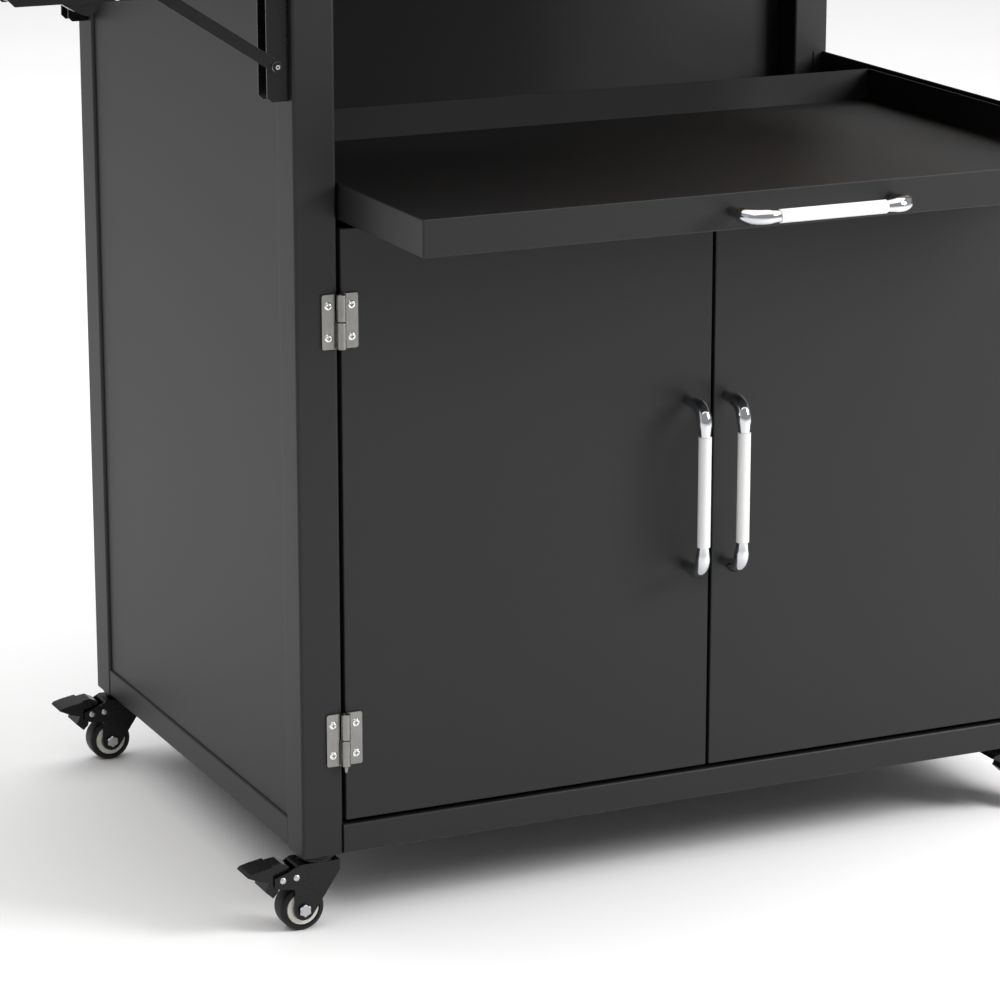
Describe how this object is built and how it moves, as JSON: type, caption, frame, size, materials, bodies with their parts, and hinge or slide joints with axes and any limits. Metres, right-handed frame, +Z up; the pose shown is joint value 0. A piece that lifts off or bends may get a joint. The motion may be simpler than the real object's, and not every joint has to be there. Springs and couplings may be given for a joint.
{
  "type": "kitchen island cart",
  "caption": "Sheet-steel kitchen island cart on swivel casters: hinged doors, pull-out tray, open bay, worktop, and a folding side leaf on locking brackets.",
  "frame": {"origin": "bottom centre of the object's box, with the tray drawn out and the leaf raised as modelled", "axes": "+X to the cart's right as seen from its front, +Y from the doors to the back, +Z up"},
  "size_m": [1.113, 0.8058, 0.919],
  "materials": {
    "steel_black": "fine-textured satin powder coat, charcoal black",
    "bracket_black": "semi-gloss black coat on pressed steel",
    "nickel": "satin nickel plate",
    "chrome": "bright chrome plate",
    "zinc": "bright zinc plate",
    "sleeve": "smooth white plastic",
    "wood": "oiled, glued staves",
    "tyre": "smooth black tyre on a cream plastic wheel"
  },
  "bodies": {
    "cart_frame": {"post_front_left": "steel_black", "post_front_right": "steel_black", "post_rear_left": "steel_black", "post_rear_right": "steel_black", "base_rail_front": "steel_black", "base_rail_back": "steel_black", "base_rail_left": "steel_black", "base_rail_right": "steel_black", "side_panel_left": "steel_black", "side_panel_right": "steel_black", "back_panel": "steel_black", "cabinet_floor": "steel_black", "tray_deck": "steel_black", "worktop": "wood", "slide_rail_left": "zinc", "slide_rail_right": "zinc", "hinge_left_lower_post_leaf": "nickel", "hinge_left_upper_post_leaf": "nickel", "hinge_right_lower_post_leaf": "nickel", "hinge_right_upper_post_leaf": "nickel", "bracket_front_channel": "bracket_black", "bracket_rear_channel": "bracket_black", "caster_front_left_race": "bracket_black", "caster_front_right_race": "bracket_black", "caster_rear_left_race": "bracket_black", "caster_rear_right_race": "bracket_black"},
    "tray": {"tray": "steel_black", "tray_handle_bar": "chrome", "tray_handle_sleeve": "sleeve", "slide_runner_left": "zinc", "slide_runner_right": "zinc"},
    "door_left": {"door_left": "steel_black", "handle_left_bar": "chrome", "handle_left_sleeve": "sleeve", "hinge_left_lower_door_leaf": "nickel", "hinge_left_upper_door_leaf": "nickel"},
    "door_right": {"door_right": "steel_black", "handle_right_bar": "chrome", "handle_right_sleeve": "sleeve", "hinge_right_lower_door_leaf": "nickel", "hinge_right_upper_door_leaf": "nickel"},
    "leaf": {"leaf": "wood", "bracket_front_arm": "bracket_black", "bracket_rear_arm": "bracket_black"},
    "strut_front": {"bracket_front_strut": "bracket_black"},
    "lever_front": {"bracket_front_lever": "bracket_black"},
    "strut_rear": {"bracket_rear_strut": "bracket_black"},
    "lever_rear": {"bracket_rear_lever": "bracket_black"},
    "caster_front_left": {"caster_front_left_fork": "bracket_black"},
    "wheel_front_left": {"caster_front_left_wheel": "tyre"},
    "pedal_front_left": {"caster_front_left_pedal": "bracket_black"},
    "caster_front_right": {"caster_front_right_fork": "bracket_black"},
    "wheel_front_right": {"caster_front_right_wheel": "tyre"},
    "pedal_front_right": {"caster_front_right_pedal": "bracket_black"},
    "caster_rear_left": {"caster_rear_left_fork": "bracket_black"},
    "wheel_rear_left": {"caster_rear_left_wheel": "tyre"},
    "pedal_rear_left": {"caster_rear_left_pedal": "bracket_black"},
    "caster_rear_right": {"caster_rear_right_fork": "bracket_black"},
    "wheel_rear_right": {"caster_rear_right_wheel": "tyre"},
    "pedal_rear_right": {"caster_rear_right_pedal": "bracket_black"}
  },
  "joints": [
    {"name": "tray_slide", "type": "slide", "parent": "cart_frame", "child": "tray", "axis": [0, -1, 0], "range_m": [-0.181, 0.19]},
    {"name": "door_left_hinge", "type": "hinge", "parent": "cart_frame", "child": "door_left", "pos_m": [-0.2449, -0.1838, 0.379], "axis": [0, 0, -1], "range_deg": [0, 170]},
    {"name": "door_right_hinge", "type": "hinge", "parent": "cart_frame", "child": "door_right", "pos_m": [0.5049, -0.1838, 0.379], "axis": [0, 0, 1], "range_deg": [0, 170]},
    {"name": "leaf_fold", "type": "hinge", "parent": "cart_frame", "child": "leaf", "pos_m": [-0.2985, 0.1069, 0.879], "axis": [0, -1, 0], "range_deg": [0, 86]},
    {"name": "strut_front_turn", "type": "hinge", "parent": "cart_frame", "child": "strut_front", "pos_m": [-0.2985, -0.1601, 0.803], "axis": [0, -1, 0], "range_deg": [0, 124]},
    {"name": "lever_front_press", "type": "hinge", "parent": "leaf", "child": "lever_front", "pos_m": [-0.4455, -0.1601, 0.875], "axis": [0, 1, 0], "range_deg": [0, 12], "stiffness_Nm_per_rad": 0.1},
    {"name": "strut_rear_turn", "type": "hinge", "parent": "cart_frame", "child": "strut_rear", "pos_m": [-0.2985, 0.3739, 0.803], "axis": [0, -1, 0], "range_deg": [0, 124]},
    {"name": "lever_rear_press", "type": "hinge", "parent": "leaf", "child": "lever_rear", "pos_m": [-0.4455, 0.3739, 0.875], "axis": [0, 1, 0], "range_deg": [0, 12], "stiffness_Nm_per_rad": 0.1},
    {"name": "front_left_swivel", "type": "hinge", "parent": "cart_frame", "child": "caster_front_left", "pos_m": [-0.2665, -0.1591, 0.066], "axis": [0, 0, 1], "continuous": true},
    {"name": "front_left_roll", "type": "hinge", "parent": "caster_front_left", "child": "wheel_front_left", "pos_m": [-0.2835, -0.1591, 0.0215], "axis": [0, 1, 0], "continuous": true},
    {"name": "front_left_brake", "type": "hinge", "parent": "caster_front_left", "child": "pedal_front_left", "pos_m": [-0.3045, -0.1591, 0.0534], "axis": [0, -1, 0], "range_deg": [0, 12]},
    {"name": "front_right_swivel", "type": "hinge", "parent": "cart_frame", "child": "caster_front_right", "pos_m": [0.5265, -0.1591, 0.066], "axis": [0, 0, 1], "continuous": true},
    {"name": "front_right_roll", "type": "hinge", "parent": "caster_front_right", "child": "wheel_front_right", "pos_m": [0.5095, -0.1591, 0.0215], "axis": [0, 1, 0], "continuous": true},
    {"name": "front_right_brake", "type": "hinge", "parent": "caster_front_right", "child": "pedal_front_right", "pos_m": [0.4885, -0.1591, 0.0534], "axis": [0, -1, 0], "range_deg": [0, 12]},
    {"name": "rear_left_swivel", "type": "hinge", "parent": "cart_frame", "child": "caster_rear_left", "pos_m": [-0.2665, 0.3729, 0.066], "axis": [0, 0, 1], "continuous": true},
    {"name": "rear_left_roll", "type": "hinge", "parent": "caster_rear_left", "child": "wheel_rear_left", "pos_m": [-0.2835, 0.3729, 0.0215], "axis": [0, 1, 0], "continuous": true},
    {"name": "rear_left_brake", "type": "hinge", "parent": "caster_rear_left", "child": "pedal_rear_left", "pos_m": [-0.3045, 0.3729, 0.0534], "axis": [0, -1, 0], "range_deg": [0, 12]},
    {"name": "rear_right_swivel", "type": "hinge", "parent": "cart_frame", "child": "caster_rear_right", "pos_m": [0.5265, 0.3729, 0.066], "axis": [0, 0, 1], "continuous": true},
    {"name": "rear_right_roll", "type": "hinge", "parent": "caster_rear_right", "child": "wheel_rear_right", "pos_m": [0.5095, 0.3729, 0.0215], "axis": [0, 1, 0], "continuous": true},
    {"name": "rear_right_brake", "type": "hinge", "parent": "caster_rear_right", "child": "pedal_rear_right", "pos_m": [0.4885, 0.3729, 0.0534], "axis": [0, -1, 0], "range_deg": [0, 12]}
  ],
  "couplings": [
    {"joint": "strut_front_turn", "follows": "leaf_fold", "ratio": 1.3679},
    {"joint": "strut_rear_turn", "follows": "leaf_fold", "ratio": 1.3679}
  ]
}
